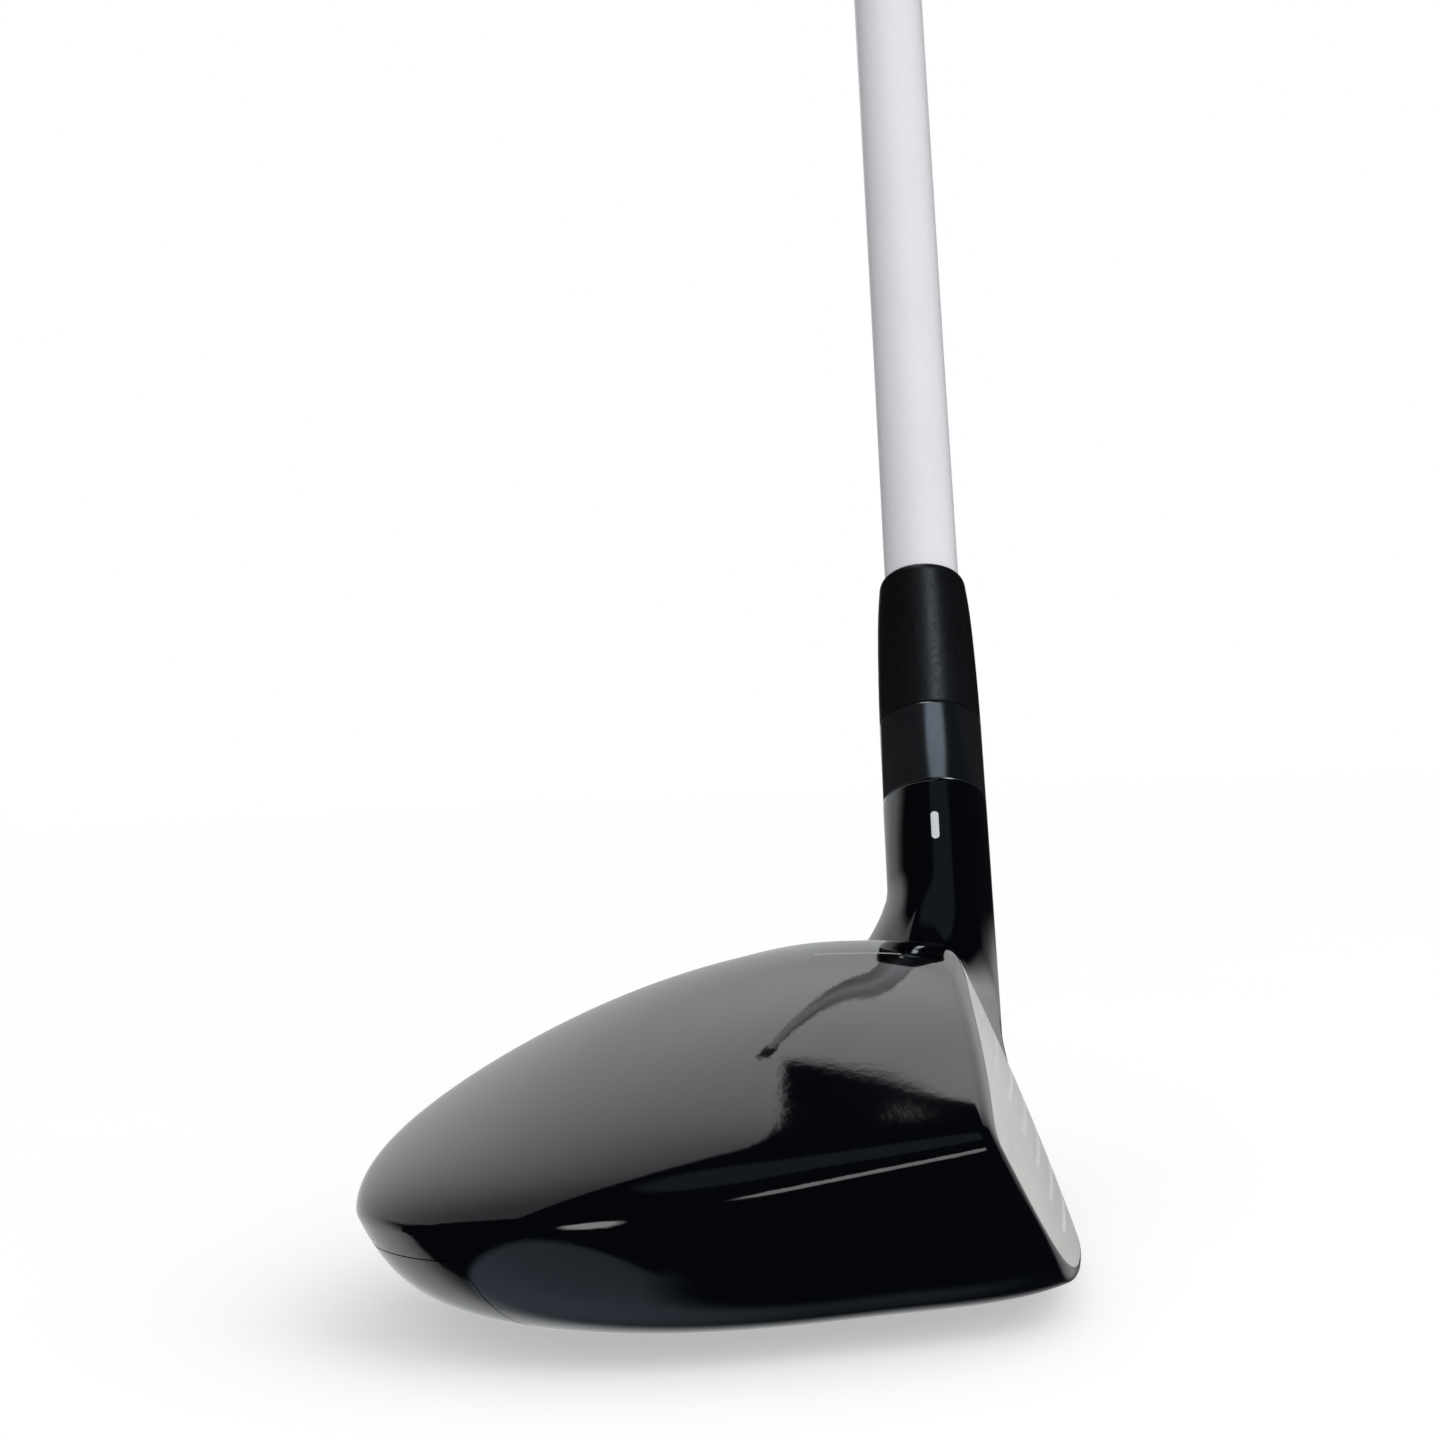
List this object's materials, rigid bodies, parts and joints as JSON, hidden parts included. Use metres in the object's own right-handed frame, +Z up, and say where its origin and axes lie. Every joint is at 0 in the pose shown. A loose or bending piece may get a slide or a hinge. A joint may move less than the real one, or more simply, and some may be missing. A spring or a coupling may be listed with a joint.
{
  "type": "golf fairway wood",
  "caption": "Right-handed fairway wood: black hollow head, adjustable hosel sleeve held by a sole screw, pearl white graphite shaft and rubber grip.",
  "frame": {"origin": "centre of the flat rest pad on the sole", "axes": "+Z up off the ground, +X from toe to heel (the shaft leans this way), -Y out of the hitting face, +Y to the rear of the head"},
  "size_m": [0.6456, 0.0803, 0.9017],
  "materials": {
    "body_paint": "gloss black paint over cast steel",
    "crown_paint": "gloss black lacquer over a moulded composite crown",
    "face_steel": "fine blasted maraging steel with white paint in the grooves",
    "sole_paint": "gloss black moulded sole panel",
    "weight_steel": "dark turned steel",
    "seal_rubber": "matt black rubber",
    "hot_melt": "tacky amber hot-melt",
    "seat_steel": "machined steel",
    "retainer_plastic": "moulded nylon",
    "screw_steel": "black-oxide alloy screw",
    "sleeve_aluminium": "machined and anodised aluminium",
    "ring_metal": "gunmetal anodised aluminium, satin",
    "ferrule_plastic": "satin black plastic, fine grained",
    "shaft_paint": "pearl white satin paint over graphite",
    "plug_plastic": "moulded plastic",
    "tape_fabric": "double-sided paper tape",
    "grip_rubber": "black moulded rubber with a fine tread",
    "cap_rubber": "black moulded rubber, smooth"
  },
  "bodies": {
    "head": {"body_casting": "body_paint", "crown_shell": "crown_paint", "face_plate": "face_steel", "sole_panel": "sole_paint", "hot_melt_pad": "hot_melt", "hosel_seat": "seat_steel", "screw_retainer": "retainer_plastic"},
    "screw_carrier": {"screw_washer": "seat_steel"},
    "screw": {"hosel_screw": "screw_steel"},
    "sleeve_carrier": {"sleeve_o_ring": "seal_rubber"},
    "ring": {"index_ring": "ring_metal"},
    "shaft_assembly": {"loft_sleeve": "sleeve_aluminium", "ferrule": "ferrule_plastic", "shaft": "shaft_paint", "tip_plug": "plug_plastic", "grip_tape": "tape_fabric", "grip": "grip_rubber", "grip_cap": "cap_rubber"},
    "weight_carrier": {"weight_o_ring": "seal_rubber"},
    "weight": {"rear_weight": "weight_steel"}
  },
  "joints": [
    {"name": "screw_back_out", "type": "slide", "parent": "head", "child": "screw_carrier", "axis": [-0.527, 0, -0.8499], "range_m": [0, 0.0052]},
    {"name": "screw_turn", "type": "hinge", "parent": "screw_carrier", "child": "screw", "pos_m": [0.032, -0.01145, 0.0068], "axis": [-0.527, 0, -0.8499], "range_deg": [0, 2350]},
    {"name": "adapter_lift", "type": "slide", "parent": "head", "child": "sleeve_carrier", "axis": [0.527, 0, 0.8499], "range_m": [0, 0.04]},
    {"name": "ring_index", "type": "hinge", "parent": "sleeve_carrier", "child": "ring", "pos_m": [0.06099, -0.01145, 0.05354], "axis": [0.527, 0, 0.8499], "continuous": true},
    {"name": "sleeve_index", "type": "hinge", "parent": "sleeve_carrier", "child": "shaft_assembly", "pos_m": [0.06099, -0.01145, 0.05354], "axis": [0.527, 0, 0.8499], "continuous": true},
    {"name": "weight_back_out", "type": "slide", "parent": "head", "child": "weight_carrier", "axis": [0, 0, -1], "range_m": [0, 0.0065]},
    {"name": "weight_turn", "type": "hinge", "parent": "weight_carrier", "child": "weight", "pos_m": [0, 0.033, 0.002], "axis": [0, 0, -1], "range_deg": [0, 2350]}
  ],
  "couplings": [
    {"joint": "screw_turn", "follows": "screw_back_out", "rad_per_m": 7854},
    {"joint": "weight_turn", "follows": "weight_back_out", "rad_per_m": 6283.2}
  ]
}
